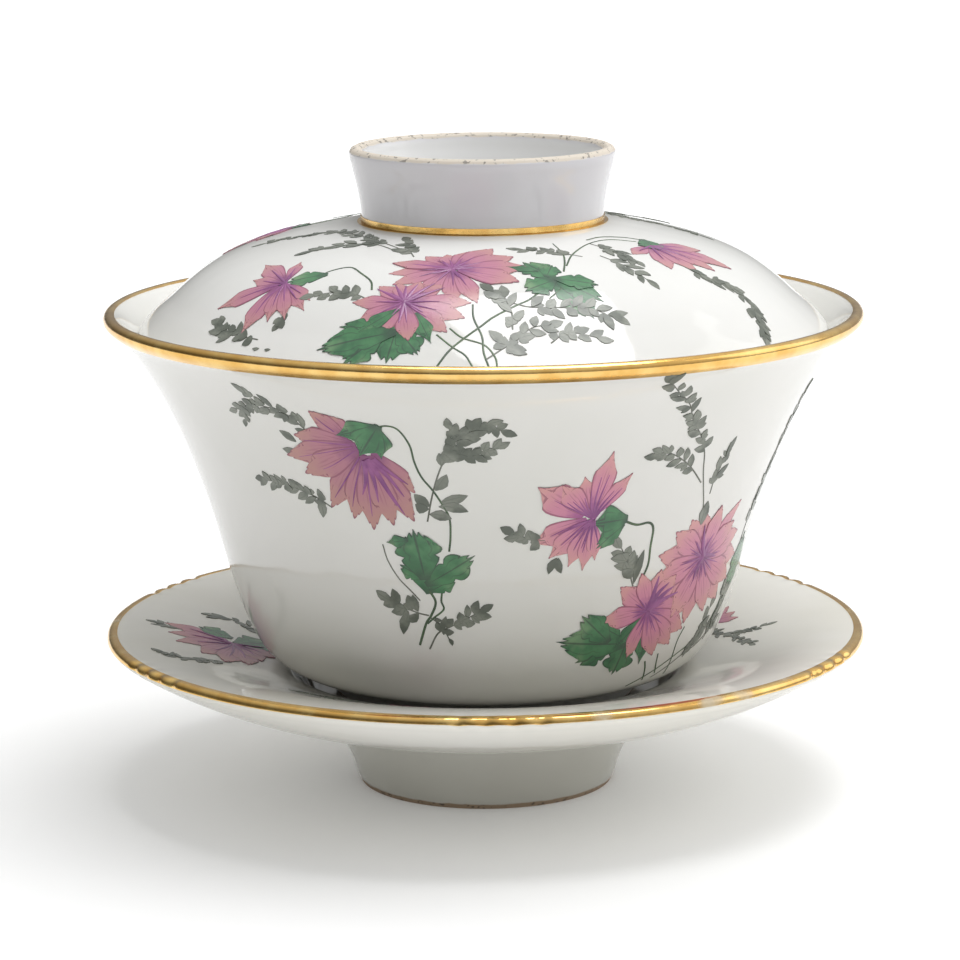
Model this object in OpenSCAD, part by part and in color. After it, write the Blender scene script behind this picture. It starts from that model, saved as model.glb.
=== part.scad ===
// Covered tea bowl on a footed saucer, in enamelled and gilt porcelain.
// The origin is the centre of the saucer's foot, on the table; +Z is up.

/* [Saucer] */
// Diameter over the rim
saucer_d = 111.7; // [90:0.1:140]
// Height of the rim's crest above the table
saucer_h = 23.4; // [18:0.1:32]
// Radius of the rounded rim edge
saucer_edge_r = 0.8; // [0.6:0.05:1.1]
// Thickness of the floor that the bowl stands on
saucer_floor = 2.6; // [2:0.1:4]
// Radius of the level well in the middle
well_r = 24.8; // [23:0.1:26]
// Radius of the shoulder round the well
shoulder_r = 29.5; // [28:0.1:32]
// Gap between the shoulder and the belly of the bowl above it
belly_gap = 1; // [0.6:0.1:2]
// Slope of the underside where it meets the rim, in degrees
saucer_under_slope = 36; // [25:1:40]

/* [Saucer foot] */
// Height of the flared foot
foot_h = 10.9; // [8:0.1:14]
// Radius of the foot on the table
foot_base_r = 19; // [16:0.1:22]
// Radius of the foot where it joins the saucer
foot_top_r = 25.4; // [22.5:0.1:26]
// Wall of the foot
foot_wall = 3; // [2.5:0.1:4]

/* [Saucer rim notches] */
// Groups of notches round the rim
notch_groups = 6; // [3:1:8]
// Notches in each group
notch_count = 4; // [2:1:5]
// Distance between neighbouring notches along the rim
notch_pitch = 3.8; // [3.4:0.1:5]
// Depth of a notch
notch_depth = 0.45; // [0.3:0.05:0.7]
// Width of a notch at the rim
notch_w = 3.2; // [2.4:0.1:3.3]
// Direction of the first group, in degrees
notch_turn = 28; // [0:1:60]

/* [Bowl] */
// Diameter over the lip
bowl_d = 110.6; // [90:0.1:140]
// Height of the lip above the bowl's own foot
bowl_h = 57.4; // [48:0.1:75]
// Radius where the bowl is slimmest and its flare starts
waist_r = 39; // [34:0.1:44]
// Height of the waist above the bowl's foot
waist_h = 24; // [20:0.1:30]
// Radius of the level bottom
bottom_r = 22.6; // [21.5:0.1:25]
// Wall at the lip
lip_wall = 1.8; // [1.6:0.1:2.6]
// Wall at the bottom
base_wall = 3; // [2.6:0.1:4]

/* [Bowl foot] */
// Height of the bowl's foot ring
ring_h = 3.7; // [3:0.1:5]
// Outer radius of the foot ring
ring_r = 22.2; // [20:0.1:22.4]
// Wall of the foot ring
ring_wall = 2.8; // [2:0.1:4]

/* [Lid] */
// Diameter over the lid's edge
lid_d = 100.4; // [80:0.1:108]
// Height from the lid's edge to its level crown
lid_rise = 16.9; // [12:0.1:22]
// Wall of the lid
lid_wall = 2.4; // [2:0.1:3]
// Gap left between the lid's edge and the bowl
lid_clearance = 0.12; // [0.08:0.01:0.3]

/* [Grip ring] */
// Height of the ring above the crown
grip_h = 10.8; // [8:0.1:14]
// Outer radius at the crown
grip_base_r = 17.65; // [15:0.05:20]
// Outer radius at the top
grip_top_r = 19.35; // [17:0.05:22]
// Wall of the ring
grip_wall = 2; // [1.6:0.1:2.6]
// Outward lean of the ring at its top, in degrees
grip_lean = 12; // [0:1:20]

/* [Gilding] */
// Thickness of the fired gold
gilt_t = 0.1; // [0.08:0.01:0.15]
// Width of the band below the bowl's lip, outside
lip_gilt_w = 1; // [0.6:0.1:3]
// Width of the band on the saucer's upper face
saucer_gilt_w = 0.6; // [0.4:0.1:3]
// How far the saucer's band reaches down round its edge
saucer_gilt_drop = 0.9; // [0.5:0.1:1.2]
// Width of the grip ring's line on the lid
grip_gilt_w = 0.6; // [0.4:0.1:2.5]
// Height of the grip ring's line on the ring
grip_gilt_h = 0.9; // [0.4:0.1:1.2]

/* [Hidden] */
$fn = 96;

porcelain = [0.93, 0.93, 0.91];
gold = [0.80, 0.60, 0.25];

curve_steps = 16;
edge_steps = 6;

// A point of a cubic curve, and the whole curve
function bezier_at(p, t) =
    pow(1 - t, 3) * p[0] + 3 * pow(1 - t, 2) * t * p[1]
    + 3 * (1 - t) * t * t * p[2] + pow(t, 3) * p[3];
function bezier(p, steps = curve_steps) =
    [for (i = [0:steps]) bezier_at(p, i / steps)];

// Points of an arc round c, both angles in degrees
function arc(c, r, from, to, steps = edge_steps) =
    [for (i = [0:steps]) let (a = from + (to - from) * i / steps)
        c + r * [cos(a), sin(a)]];

function unit(v) = v / norm(v);
function left_of(v) = [-v[1], v[0]];
function tail(points) = [for (i = [1:len(points) - 1]) points[i]];
function reversed(points) =
    [for (i = [len(points) - 1:-1:0]) points[i]];

// Direction of a row of points at its i-th point
function heading(points, i) =
    let (last = len(points) - 1)
    unit(points[min(i + 1, last)] - points[max(i - 1, 0)]);

// The row of points moved to its left, by d0 at its start and d1 at its end
function beside(points, d0, d1) =
    [for (i = [0:len(points) - 1])
        points[i] + left_of(heading(points, i))
            * (d0 + (d1 - d0) * i / (len(points) - 1))];

// Height of a rising row of points at radius r, sought from its far end
function height_at(points, r, i = -1) =
    let (k = i < 0 ? len(points) - 1 : i, p = points[k - 1], q = points[k])
    p[0] <= r ? p[1] + (q[1] - p[1]) * (r - p[0]) / (q[0] - p[0])
        : height_at(points, r, k - 1);

// Half circle that joins p to q, bulging forward of the wall
function round_lip(p, q) =
    let (c = (p + q) / 2, r = norm(q - p) / 2,
         a = atan2(p[1] - c[1], p[0] - c[0]))
    arc(c, r, a, a + 180);

// The first points of a row, up to the length given, with its exact end
function first_part(points, length, i = 0) =
    let (step = norm(points[i + 1] - points[i]))
    length <= step
        ? [points[i], points[i] + (points[i + 1] - points[i]) * length / step]
        : concat([points[i]], first_part(points, length - step, i + 1));

well_z = foot_h + saucer_floor;

// Bowl: outside from the bottom to the waist and on to the lip
bottom_z = well_z + ring_h;
waist = [waist_r, well_z + waist_h];
waist_lean = unit([0.26, 1]);
bowl_top_z = well_z + bowl_h;
flare = 36.5;
lip_out = [bowl_d / 2 - lip_wall / 2 * (1 - sin(flare)),
    bowl_top_z - lip_wall / 2 * (1 + cos(flare))];
upper_rise = lip_out[1] - waist[1];
lower_rise = waist[1] - bottom_z;
bowl_lower = bezier([
    [bottom_r, bottom_z],
    [bottom_r + 0.61 * (waist_r - bottom_r), bottom_z],
    waist - 0.79 * lower_rise * waist_lean,
    waist
]);
bowl_upper = bezier([
    waist,
    waist + 0.22 * upper_rise * waist_lean,
    lip_out - 0.315 * upper_rise * [cos(flare), sin(flare)],
    lip_out
]);
bowl_out = concat(bowl_lower, tail(bowl_upper));
bowl_in = beside(bowl_out, base_wall, lip_wall);
bowl_lip = round_lip(lip_out, bowl_in[len(bowl_in) - 1]);

// Saucer: underside from the foot to the rim, the edge, and the upper face
rim_c = [saucer_d / 2 - saucer_edge_r, saucer_h - saucer_edge_r];
edge_from = saucer_under_slope - 90;
saucer_edge = arc(rim_c, saucer_edge_r, edge_from, 90);
under_run = saucer_edge[0][0] - foot_top_r;
saucer_under = bezier([
    [foot_top_r, foot_h],
    [foot_top_r + 0.38 * under_run, foot_h + 0.04 * under_run],
    saucer_edge[0] - 0.235 * under_run
        * [cos(saucer_under_slope), sin(saucer_under_slope)],
    saucer_edge[0]
]);

// The upper face runs almost level to the shoulder, then drops into the well
shoulder = [shoulder_r, height_at(bowl_lower, shoulder_r) - belly_gap];
rim_top = saucer_edge[edge_steps];
face_run = rim_top[0] - shoulder_r;
shoulder_slope = 15;
shoulder_turn = 2 * [cos(shoulder_slope), sin(shoulder_slope)];
saucer_face = bezier([
    rim_top,
    rim_top - [0.32 * face_run, 0],
    shoulder + 0.4 * face_run * [cos(shoulder_slope), sin(shoulder_slope)],
    shoulder
]);
well_wall = bezier([
    shoulder,
    shoulder - shoulder_turn,
    [well_r + 2, well_z],
    [well_r, well_z]
], 8);
saucer_upper = concat(saucer_face, tail(well_wall));

// Saucer foot: a hollow flare from the table to the underside
foot_side = bezier([
    [foot_base_r, 0],
    [foot_base_r + 0.12 * (foot_top_r - foot_base_r), 0.35 * foot_h],
    [foot_base_r + 0.42 * (foot_top_r - foot_base_r), 0.78 * foot_h],
    [foot_top_r, foot_h]
], 8);
foot_corner = 0.6;

// Lid: its edge rests on the flare, and the dome rises to a level crown
lid_slope = 43;
lid_edge_r = lid_wall / 2;
seat_slope = 43;
lid_reach = lid_edge_r + lid_clearance;
lid_edge_c = [
    lid_d / 2 - lid_edge_r,
    height_at(bowl_in, lid_d / 2 - lid_edge_r + lid_reach * sin(seat_slope))
        + lid_reach * cos(seat_slope)
];
lid_top = lid_edge_c + lid_edge_r * [sin(lid_slope), cos(lid_slope)];
crown_z = lid_edge_c[1] - lid_edge_r + lid_rise;
lid_run = lid_top[0] - grip_base_r;
lid_out = bezier([
    lid_top,
    lid_top + 0.37 * lid_run * [-cos(lid_slope), sin(lid_slope)],
    [grip_base_r + 0.66 * lid_run, crown_z - 0.19 * (crown_z - lid_top[1])],
    [grip_base_r, crown_z]
]);
lid_in = beside(lid_out, lid_wall, lid_wall);
lid_edge = round_lip(reversed(lid_in)[len(lid_in) - 1], lid_out[0]);

// Grip ring: a low flared collar with a rounded top
grip_end = [grip_top_r - grip_wall / 2 * (1 - cos(grip_lean)),
    crown_z + grip_h - grip_wall / 2 * (1 + sin(grip_lean))];
grip_side = bezier([
    [grip_base_r, crown_z],
    [grip_base_r, crown_z + 0.33 * grip_h],
    grip_end - 0.3 * grip_h * [sin(grip_lean), cos(grip_lean)],
    grip_end
], 8);
grip_in = beside(grip_side, grip_wall, grip_wall);
grip_lip = round_lip(grip_side[8], grip_in[8]);

// A solid of revolution
module turned(outline) {
    rotate_extrude() polygon(outline);
}

// A gold film that lies on a row of points, outside it
module film(points) {
    turned(concat(points, reversed(beside(points, -gilt_t, -gilt_t))));
}

// Upright cutters for the notches in the saucer's rim
module notch_cutters() {
    cutter_r = (notch_w * notch_w / 4 + notch_depth * notch_depth)
        / (2 * notch_depth);
    pitch_angle = notch_pitch / (saucer_d / 2) * 180 / PI;
    for (g = [0:notch_groups - 1], k = [0:notch_count - 1])
        rotate(-notch_turn - g * 360 / notch_groups
            + (k - (notch_count - 1) / 2) * pitch_angle)
            translate([saucer_d / 2 - notch_depth + cutter_r, 0, 0])
                cylinder(r = cutter_r, h = saucer_h + 5);
}

module saucer_dish() {
    color(porcelain) difference() {
        turned(concat(
            [[0, foot_h]], saucer_under, tail(saucer_edge), tail(saucer_upper),
            [[0, well_z]]
        ));
        notch_cutters();
    }
}

module saucer_foot_ring() {
    inner = reversed(beside(foot_side, foot_wall, foot_wall));
    color(porcelain) turned(concat(
        [for (p = foot_side) if (p[1] >= foot_corner && p[1] < foot_h) p],
        [[foot_top_r, foot_h], [foot_top_r - foot_wall, foot_h]],
        [for (p = inner) if (p[1] >= foot_corner && p[1] < foot_h - 1) p],
        [[foot_base_r - foot_wall + foot_corner, 0],
         [foot_base_r - foot_corner / 2, 0]]
    ));
}

module saucer_rim_gilding() {
    lowest = saucer_h - saucer_gilt_drop;
    band = concat(
        [for (p = saucer_edge) if (p[1] >= lowest) p],
        tail(first_part(saucer_upper, saucer_gilt_w))
    );
    color(gold) difference() {
        film(band);
        notch_cutters();
    }
}

module bowl_body() {
    color(porcelain) turned(concat(
        [[0, bottom_z]], bowl_out, tail(bowl_lip),
        tail(reversed(bowl_in)), [[0, bottom_z + base_wall]]
    ));
}

module bowl_foot_ring() {
    color(porcelain) turned([
        [ring_r, bottom_z], [ring_r - ring_wall, bottom_z],
        [ring_r - ring_wall + 0.4, well_z], [ring_r - 0.6, well_z],
        [ring_r, well_z + 0.6]
    ]);
}

module bowl_rim_gilding() {
    outside = reversed(first_part(reversed(bowl_upper), lip_gilt_w));
    color(gold) film(concat(outside, tail(bowl_lip)));
}

module lid_dome() {
    color(porcelain) turned(concat(
        lid_out, [[0, crown_z], [0, crown_z - lid_wall]],
        reversed(lid_in), tail(lid_edge)
    ));
}

module lid_grip_ring() {
    color(porcelain) turned(concat(
        grip_side, tail(grip_lip), tail(reversed(grip_in)),
        [[grip_in[0][0], crown_z]]
    ));
}

module lid_grip_gilding() {
    on_lid = reversed(first_part(reversed(lid_out), grip_gilt_w));
    color(gold) film(concat(on_lid, tail(first_part(grip_side, grip_gilt_h))));
}

saucer_dish();
saucer_foot_ring();
saucer_rim_gilding();
bowl_body();
bowl_foot_ring();
bowl_rim_gilding();
lid_dome();
lid_grip_ring();
lid_grip_gilding();
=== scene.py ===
# %% [markdown]
# # A covered tea bowl on its saucer
# A gaiwan is three loose pieces of porcelain: a saucer on a tall flared foot, a bowl with a flared gilt
# lip, and a domed lid with a hollow ring for a handle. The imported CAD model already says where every
# surface is. Here each piece gets the skin that a potter, a gilder and a painter would give it: smooth
# turned walls, glaze with small faults in it, gold that is rubbed thin, and raised enamel flowers.

# %% Load the frame and keep its size
import math
import random

import bpy
from mathutils import Matrix, Vector


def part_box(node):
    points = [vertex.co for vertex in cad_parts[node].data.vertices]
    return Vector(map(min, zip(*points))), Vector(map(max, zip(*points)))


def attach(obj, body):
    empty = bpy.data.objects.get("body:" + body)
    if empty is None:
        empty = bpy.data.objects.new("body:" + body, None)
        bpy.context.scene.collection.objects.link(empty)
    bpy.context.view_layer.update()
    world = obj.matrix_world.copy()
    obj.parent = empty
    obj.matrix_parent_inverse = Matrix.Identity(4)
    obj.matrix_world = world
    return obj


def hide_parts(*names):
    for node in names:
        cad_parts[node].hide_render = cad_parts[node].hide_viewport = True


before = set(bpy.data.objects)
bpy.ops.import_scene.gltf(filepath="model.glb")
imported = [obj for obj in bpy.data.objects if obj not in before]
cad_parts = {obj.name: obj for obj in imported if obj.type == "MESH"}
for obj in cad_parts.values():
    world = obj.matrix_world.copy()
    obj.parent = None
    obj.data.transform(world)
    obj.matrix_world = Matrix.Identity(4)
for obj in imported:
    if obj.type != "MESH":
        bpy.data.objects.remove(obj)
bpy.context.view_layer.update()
MM = 0.001
print("nodes:", sorted(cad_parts))

# %% [markdown]
# ## Camera
# A small object is shown with a long lens from just above the rim, so that the circles turn into slim
# ellipses and the far side isn't shrunk. The camera stands about half a metre away, looks down by eleven
# degrees, and leans by a third of a degree, which is what a hand-levelled tripod does.

# %% Camera
CAMERA_DISTANCE = 0.5346
CAMERA_HEIGHT = 0.1516
LOOK_DOWN = math.radians(11.29)
LOOK_ASIDE = math.radians(0.07)
LEAN = math.radians(-0.38)

camera_data = bpy.data.cameras.new("camera")
camera_data.lens = 138.6
camera_data.sensor_width = 36
camera_data.clip_start = 0.01
camera = bpy.data.objects.new("camera", camera_data)
bpy.context.scene.collection.objects.link(camera)
camera.matrix_world = (
    Matrix.Translation((0, -CAMERA_DISTANCE, CAMERA_HEIGHT))
    @ Matrix.Rotation(LOOK_ASIDE, 4, "Z")
    @ Matrix.Rotation(math.radians(90) - LOOK_DOWN, 4, "X")
    @ Matrix.Rotation(LEAN, 4, "Z")
)
bpy.context.scene.camera = camera
print("camera is", round(camera.location.length, 3), "m from the foot")

# %% [markdown]
# ## Floor and light
# Glossy porcelain shows its surroundings, so the light matters more than the glaze. The sky is a plain
# ramp, bright overhead and to the right and dim near the ground, so the lid and the floor are white while
# the wall of the bowl falls off to grey and the gold finds something dark to show. A soft window stands to
# the right and a soft panel hangs over the bowl. The floor is a pale sheet. Far from the bowl it glows, as
# a backlit sheet does, so that it stays white right up to the horizon. The glow fades towards the middle of
# the bowl's shadow, so that the shadow under the saucer stays a real one.

# %% Floor
FLOOR_SIZE = 8
FLOOR_TONE = 0.86
GLOW_FROM, GLOW_FULL = 0.02, 1.0
GLOW_NEAR, GLOW_FAR = 0.13, 0.6
SHADOW_MIDDLE = (-0.012, -0.022, 0)
bpy.ops.object.select_all(action="DESELECT")
bpy.ops.mesh.primitive_plane_add(size=FLOOR_SIZE, location=(0, 0, 0))
floor = bpy.context.active_object
floor.name = "floor"
floor_material = bpy.data.materials.new("pale floor")
floor_material.use_nodes = True
floor_surface = floor_material.node_tree.nodes["Principled BSDF"]
floor_surface.inputs["Base Color"].default_value = (FLOOR_TONE, FLOOR_TONE, FLOOR_TONE, 1)
floor_surface.inputs["Roughness"].default_value = 0.8
floor_surface.inputs["Specular IOR Level"].default_value = 0.1
floor_surface.inputs["Emission Color"].default_value = (1, 1, 1, 1)
floor_nodes, floor_links = floor_material.node_tree.nodes, floor_material.node_tree.links
from_shadow = floor_nodes.new("ShaderNodeVectorMath")
from_shadow.operation = "DISTANCE"
from_shadow.inputs[1].default_value = SHADOW_MIDDLE
floor_links.new(floor_nodes.new("ShaderNodeTexCoord").outputs["Object"], from_shadow.inputs[0])
glow = floor_nodes.new("ShaderNodeMapRange")
glow.inputs["From Min"].default_value = GLOW_FROM
glow.inputs["From Max"].default_value = GLOW_FULL
glow.inputs["To Min"].default_value = GLOW_NEAR
glow.inputs["To Max"].default_value = GLOW_FAR
floor_links.new(from_shadow.outputs["Value"], glow.inputs["Value"])
floor_links.new(glow.outputs["Result"], floor_surface.inputs["Emission Strength"])
floor.data.materials.append(floor_material)


# %% Windows
def window(name, at, size, watts):
    """A soft rectangular white light that faces the bowl."""
    data = bpy.data.lights.new(name, "AREA")
    data.shape = "RECTANGLE"
    data.size, data.size_y = size
    data.energy = watts
    light = bpy.data.objects.new(name, data)
    bpy.context.scene.collection.objects.link(light)
    light.location = at
    towards_bowl = Vector((0, 0, 0.05)) - Vector(at)
    light.rotation_euler = towards_bowl.to_track_quat("-Z", "Y").to_euler()
    return light


window("right window", (0.75, 0.15, 0.5), (0.6, 0.6), 0.9)
window("top panel", (0.14, 0.06, 0.9), (0.6, 0.5), 4.9)

# %% Sky
SKY_STRENGTH = 0.8
SKY_UP = (0.32, 0.08, 0.83)
SKY_LOW, SKY_HIGH = (0.15, 0.15, 0.138), (0.95, 0.96, 0.97)
sky = bpy.data.worlds.new("pale studio")
sky.use_nodes = True
bpy.context.scene.world = sky
bpy.context.scene.view_settings.view_transform = "Standard"
sky_nodes, sky_links = sky.node_tree.nodes, sky.node_tree.links
direction = sky_nodes.new("ShaderNodeTexCoord")
slope = sky_nodes.new("ShaderNodeVectorMath")
slope.operation = "DOT_PRODUCT"
slope.inputs[1].default_value = SKY_UP
ramp = sky_nodes.new("ShaderNodeValToRGB")
ramp.color_ramp.elements[0].position = 0.0
ramp.color_ramp.elements[0].color = (*SKY_LOW, 1)
ramp.color_ramp.elements[1].position = 0.7
ramp.color_ramp.elements[1].color = (*SKY_HIGH, 1)
sky_links.new(direction.outputs["Generated"], slope.inputs[0])
sky_links.new(slope.outputs["Value"], ramp.inputs[0])
sky_links.new(ramp.outputs[0], sky_nodes["Background"].inputs["Color"])
sky_nodes["Background"].inputs["Strength"].default_value = SKY_STRENGTH

# %% [markdown]
# ## Turning the porcelain smooth
# Every wall of a gaiwan is thrown or jiggered on a wheel, so one outline says all of it. The CAD mesh is
# cut along the plane y = 0, which leaves the outline on the right-hand side as a row of edges. The row is a
# chain of short straight steps, so points are put between them on a smooth curve, except at real corners.
# Spinning that outline in many small steps gives a wall with no flats in it, just where the CAD wall is.

# %% Small helpers for selecting and editing
MERGE = 1e-6


def pick(*objects):
    """Selects only these objects and makes the first one active."""
    bpy.ops.object.select_all(action="DESELECT")
    for o in objects:
        o.select_set(True)
    bpy.context.view_layer.objects.active = objects[0]


def new_object(name, mesh):
    """A new object at the origin that holds this mesh."""
    made = bpy.data.objects.new(name, mesh)
    bpy.context.scene.collection.objects.link(made)
    return made


# %% Cut a node's outline
def cut_outline(node):
    """The right-hand outline of a CAD node, as (radius, height) points in order, and whether it closes."""
    cut = new_object(node + "_outline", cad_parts[node].data.copy())
    pick(cut)
    bpy.ops.object.mode_set(mode="EDIT")
    bpy.ops.mesh.select_all(action="SELECT")
    bpy.ops.mesh.remove_doubles(threshold=MERGE)
    bpy.ops.mesh.bisect(plane_co=(0, 0, 0), plane_no=(0, 1, 0),
                        clear_inner=True, clear_outer=True, threshold=MERGE)
    bpy.ops.mesh.select_all(action="SELECT")
    bpy.ops.mesh.bisect(plane_co=(0, 0, 0), plane_no=(1, 0, 0),
                        clear_inner=True, threshold=MERGE)
    bpy.ops.mesh.select_all(action="SELECT")
    bpy.ops.mesh.remove_doubles(threshold=MERGE)
    bpy.ops.mesh.dissolve_limited(angle_limit=math.radians(0.3))
    bpy.ops.object.mode_set(mode="OBJECT")
    neighbours = {v.index: [] for v in cut.data.vertices}
    for edge in cut.data.edges:
        a, b = edge.vertices
        neighbours[a].append(b)
        neighbours[b].append(a)
    ends = [i for i, near in neighbours.items() if len(near) == 1]
    start = min(ends or neighbours, key=lambda i: cut.data.vertices[i].co.z)
    walk = [start]
    while True:
        onward = [i for i in neighbours[walk[-1]] if i not in walk[-2:] and i != start]
        if not onward:
            break
        walk.append(onward[0])
    points = [Vector((cut.data.vertices[i].co.x, cut.data.vertices[i].co.z)) for i in walk]
    bpy.data.objects.remove(cut)
    return points, not ends


# %% Round the steps of an outline
CORNER = math.radians(24)
LEVEL = math.radians(0.5)


def smoothed(points, closed, rounds):
    """Puts a point in the middle of each curved step, where a smooth line through the corners would run."""
    for _ in range(rounds):
        count = len(points)
        tangents, bends = [], []
        for i, p in enumerate(points):
            before, after = points[i - 1], points[(i + 1) % count]
            if not closed and i in (0, count - 1):
                tangents.append(None)
                bends.append(0)
                continue
            a, b = p - before, after - p
            bends.append(abs(a.angle_signed(b)))
            blend = a.normalized() * b.length + b.normalized() * a.length
            tangents.append(blend.normalized() if bends[-1] < CORNER else None)
        finer = []
        for i, p in enumerate(points):
            finer.append(p)
            j = (i + 1) % count
            if j == 0 and not closed:
                break
            if min(bends[i], CORNER) + min(bends[j], CORNER) < 2 * LEVEL:
                continue
            step = points[j] - p
            straight = step.normalized()
            lean = (tangents[i] or straight) - (tangents[j] or straight)
            finer.append((p + points[j]) / 2 + lean * step.length / 8)
        points = finer
    return points


# %% Spin an outline into a solid wall
SMOOTH_BELOW = math.radians(40)


def turn(points, closed, name, steps):
    """Spins an outline round the axis into a closed smooth piece."""
    mesh = bpy.data.meshes.new(name)
    edges = [(i, i + 1) for i in range(len(points) - 1)]
    if closed:
        edges.append((len(points) - 1, 0))
    mesh.from_pydata([(p.x, 0, p.y) for p in points], edges, [])
    piece = new_object(name, mesh)
    pick(piece)
    bpy.ops.object.mode_set(mode="EDIT")
    bpy.ops.mesh.select_all(action="SELECT")
    bpy.ops.mesh.spin(steps=steps, angle=math.tau, center=(0, 0, 0), axis=(0, 0, 1))
    bpy.ops.mesh.select_all(action="SELECT")
    bpy.ops.mesh.remove_doubles(threshold=MERGE)
    bpy.ops.mesh.normals_make_consistent(inside=False)
    bpy.ops.object.mode_set(mode="OBJECT")
    bpy.ops.object.shade_smooth_by_angle(angle=SMOOTH_BELOW)
    print(name, "outline points:", len(points), "faces:", len(piece.data.polygons))
    return piece


# %% Turn the nine pieces
TURNED = {
    "saucer_dish": ("saucer_glazed", "saucer", 1, 720),
    "saucer_foot_ring": ("saucer_foot", "saucer", 2, 256),
    "saucer_rim_gilding": ("saucer_gold", "saucer", 0, 720),
    "bowl_body": ("bowl_glazed", "bowl", 2, 288),
    "bowl_foot_ring": ("bowl_foot", "bowl", 0, 192),
    "bowl_rim_gilding": ("bowl_gold", "bowl", 1, 512),
    "lid_dome": ("lid_glazed", "lid", 2, 320),
    "lid_grip_ring": ("lid_ring", "lid", 2, 256),
    "lid_grip_gilding": ("lid_gold", "lid", 1, 512),
}
turned, outlines = {}, {}
for node, (name, body, rounds, steps) in TURNED.items():
    points, closed = cut_outline(node)
    points = smoothed(points, closed, rounds)
    outlines[node] = points
    turned[node] = turn(points, closed, name, steps)
    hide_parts(node)
    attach(turned[node], body)

# %% [markdown]
# ## Scallops in the saucer's edge
# While the clay was leather-hard, someone pressed six groups of four small notches into the saucer's rim.
# The CAD rim has them as plain cuts. A finger or a tool leaves a softer mark, so here the edge is pushed
# inwards and a little down along a cosine, and the push fades out a few millimetres into the dish. The gold
# goes with it.

# %% Press the scallops
NOTCH_GROUPS, NOTCHES = 6, 4
NOTCH_PITCH, NOTCH_WIDTH, NOTCH_DEPTH = 3.8 * MM, 3.2 * MM, 0.45 * MM
NOTCH_DIP = 0.22 * MM
NOTCH_TURN = math.radians(28)
NOTCH_REACH = 3.5 * MM
rim_radius = max(p.x for p in outlines["saucer_dish"])


def scallop(angle):
    """How deep the edge is pressed in this direction, from 0 to 1."""
    group = math.tau / NOTCH_GROUPS
    off = (angle + NOTCH_TURN + group / 2) % group - group / 2
    along = off * rim_radius + NOTCHES * NOTCH_PITCH / 2
    if not 0 < along < NOTCHES * NOTCH_PITCH:
        return 0.0
    across = (along % NOTCH_PITCH - NOTCH_PITCH / 2) / (NOTCH_WIDTH / 2)
    return math.cos(across * math.pi / 2) ** 2 if abs(across) < 1 else 0.0


def press_scallops(piece):
    """Moves the points near the rim inwards and down where a notch is."""
    for v in piece.data.vertices:
        radius = math.hypot(v.co.x, v.co.y)
        fade = (radius - (rim_radius - NOTCH_REACH)) / NOTCH_REACH
        if fade <= 0:
            continue
        press = scallop(math.atan2(v.co.y, v.co.x)) * min(fade, 1) ** 2
        v.co.x *= 1 - press * NOTCH_DEPTH / radius
        v.co.y *= 1 - press * NOTCH_DEPTH / radius
        v.co.z -= press * NOTCH_DIP


for node in ("saucer_dish", "saucer_rim_gilding"):
    press_scallops(turned[node])
print("scallops pressed at every", round(360 / NOTCH_GROUPS), "degrees")

# %% [markdown]
# ## Glaze
# Old hand-dipped glaze is nearly white with a breath of grey-green, a little uneven in tone, and so glossy
# that only its faint waviness softens a reflection. It also traps the odd speck of iron, which burns to a
# tiny brown dot. Everything is mixed from noise in object space, so the pattern stays put when a piece is
# lifted. Where a kiln shelf or a stacked piece touched the clay there is no glaze, and a band at a given
# height shows biscuit instead.


# %% Node helpers
def finish(name, roughness, metallic=0.0):
    """A new material with its node list, links and main shader."""
    material = bpy.data.materials.new(name)
    material.use_nodes = True
    shader = material.node_tree.nodes["Principled BSDF"]
    shader.inputs["Roughness"].default_value = roughness
    shader.inputs["Metallic"].default_value = metallic
    return material, material.node_tree.nodes, material.node_tree.links, shader


def noise(nodes, links, where, scale, detail=2.0, stretch=None):
    """Noise in object space (or another set of coordinates), in metres."""
    texture = nodes.new("ShaderNodeTexNoise")
    texture.inputs["Scale"].default_value = scale
    texture.inputs["Detail"].default_value = detail
    if stretch:
        mapping = nodes.new("ShaderNodeMapping")
        mapping.inputs["Scale"].default_value = stretch
        links.new(where, mapping.inputs["Vector"])
        where = mapping.outputs["Vector"]
    links.new(where, texture.inputs["Vector"])
    return texture.outputs["Fac"]


def band(nodes, links, value, low, high, from_low=0.0, to_high=1.0):
    """Turns a value into a soft step between low and high."""
    step = nodes.new("ShaderNodeMapRange")
    step.interpolation_type = "SMOOTHSTEP"
    for socket, number in (("From Min", low), ("From Max", high), ("To Min", from_low), ("To Max", to_high)):
        step.inputs[socket].default_value = number
    links.new(value, step.inputs["Value"])
    return step.outputs["Result"]


def arithmetic(nodes, links, operation, first, second):
    """One sum on two values; either may be a plain number."""
    node = nodes.new("ShaderNodeMath")
    node.operation = operation
    for socket, value in zip(node.inputs, (first, second)):
        if isinstance(value, (int, float)):
            socket.default_value = value
        else:
            links.new(value, socket)
    return node.outputs["Value"]


def mixed(nodes, links, amount, first, second):
    """Blends two colours by an amount; either may be a plain colour."""
    mix = nodes.new("ShaderNodeMix")
    mix.data_type = "RGBA"
    links.new(amount, mix.inputs[0])
    for socket, colour in ((mix.inputs[6], first), (mix.inputs[7], second)):
        if isinstance(colour, tuple):
            socket.default_value = (*colour, 1)
        else:
            links.new(colour, socket)
    return mix.outputs[2]


def bumped(nodes, links, shader, height, strength, distance):
    """Feeds a height into the shader as a bump, with its distance in metres."""
    bump = nodes.new("ShaderNodeBump")
    bump.inputs["Strength"].default_value = strength
    bump.inputs["Distance"].default_value = distance
    links.new(height, bump.inputs["Height"])
    links.new(bump.outputs["Normal"], shader.inputs["Normal"])


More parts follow.
